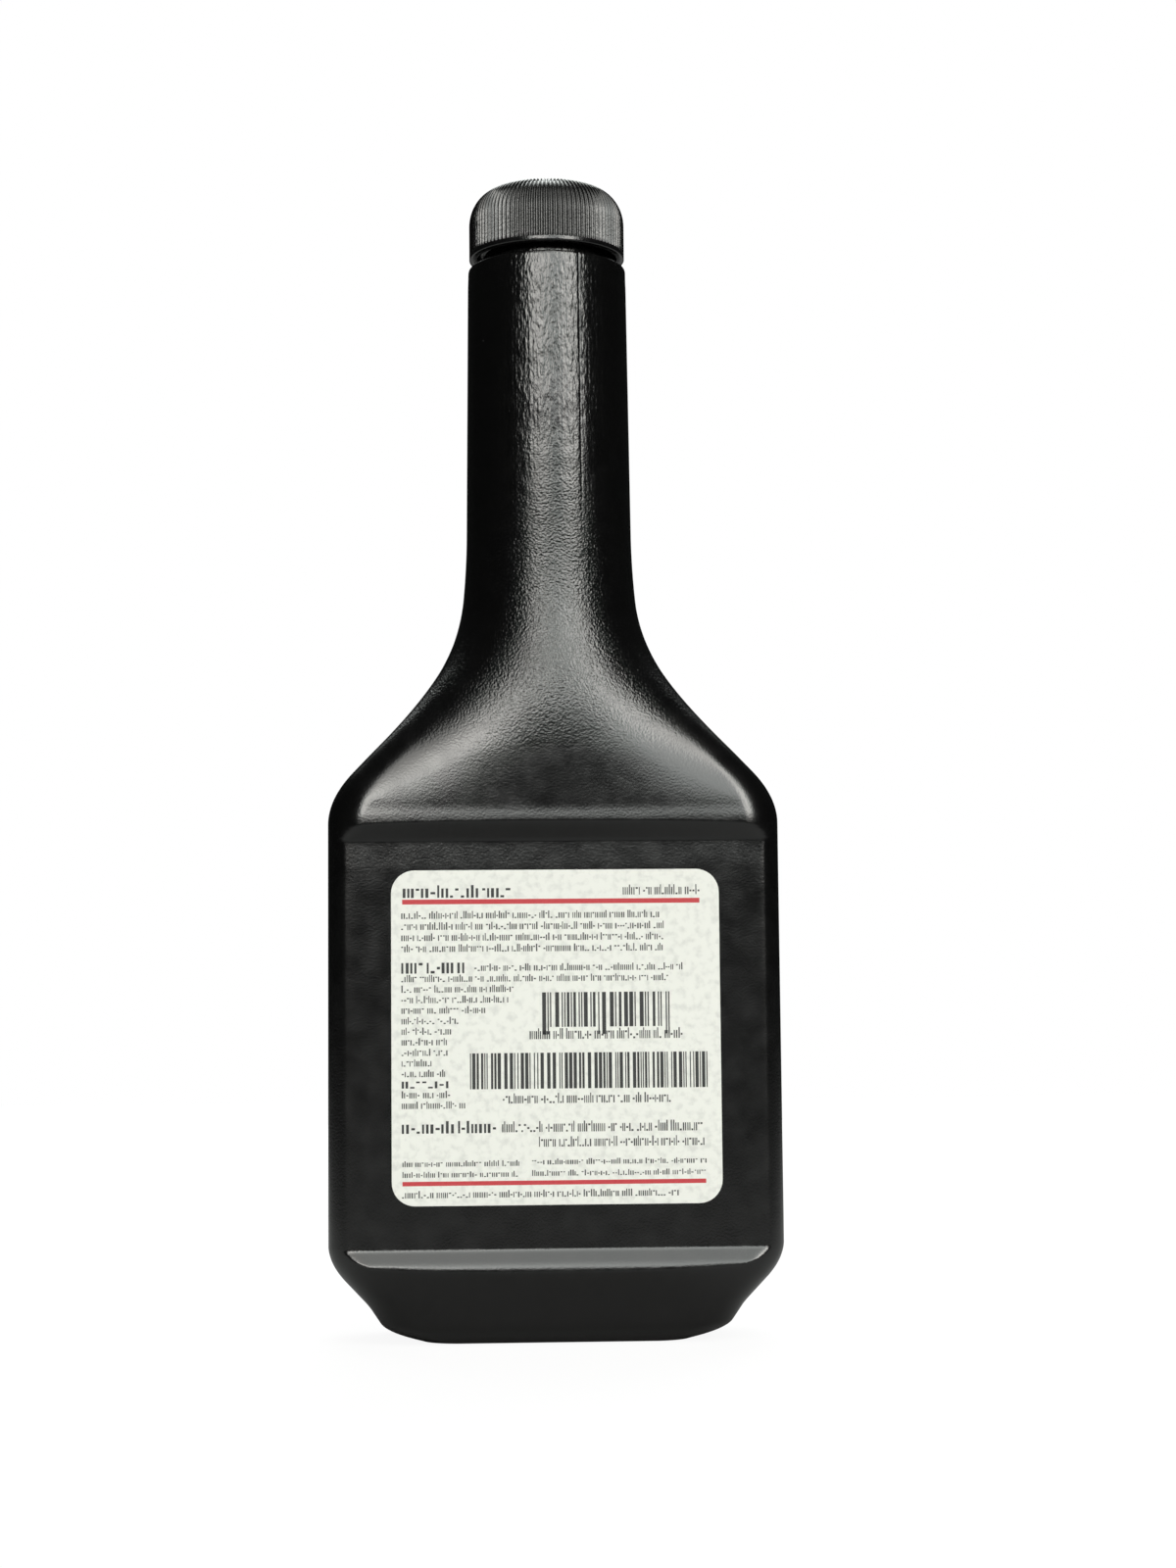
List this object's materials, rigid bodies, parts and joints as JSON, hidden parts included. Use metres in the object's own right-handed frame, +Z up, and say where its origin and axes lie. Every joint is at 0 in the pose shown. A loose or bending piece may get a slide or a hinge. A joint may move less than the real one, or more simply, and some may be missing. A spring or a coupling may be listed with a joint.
{
  "type": "lubricant bottle",
  "caption": "Long-necked oblong plastic bottle for a lubricating fluid, with a ribbed screw cap, a lined and foil-sealed mouth, and paper labels on recessed panels.",
  "frame": {"origin": "centre of the base, on the surface that the bottle stands on", "axes": "+Z up along the neck, X along the body's width, the back label faces -Y"},
  "size_m": [0.086, 0.04, 0.2251],
  "materials": {
    "bottle_plastic": "satin black blow-moulded polyethylene with a fine pebble skin",
    "cap_plastic": "satin black moulded polypropylene",
    "liner_board": "pale pulp board, faced on the sealing side",
    "seal_foil": "thin bonded foil, slightly creased",
    "label_paper": "coated off-white paper with a faint mottle and print as plain bars",
    "lubricant": "clear amber fluid"
  },
  "bodies": {
    "bottle_body": {"bottle": "bottle_plastic", "foil_seal": "seal_foil", "back_label": "label_paper", "front_label": "label_paper", "lubricant_fill": "lubricant"},
    "liner_body": {"cap_liner": "liner_board"},
    "cap_body": {"cap": "cap_plastic"}
  },
  "joints": [
    {"name": "cap_lift", "type": "slide", "parent": "bottle_body", "child": "liner_body", "axis": [0, 0, 1], "range_m": [0, 0.0106]},
    {"name": "cap_turn", "type": "hinge", "parent": "liner_body", "child": "cap_body", "pos_m": [0, 0, 0.2112], "axis": [0, 0, 1], "range_deg": [0, 900]}
  ],
  "couplings": [
    {"joint": "cap_lift", "follows": "cap_turn", "m_per_rad": 0.00067375}
  ]
}
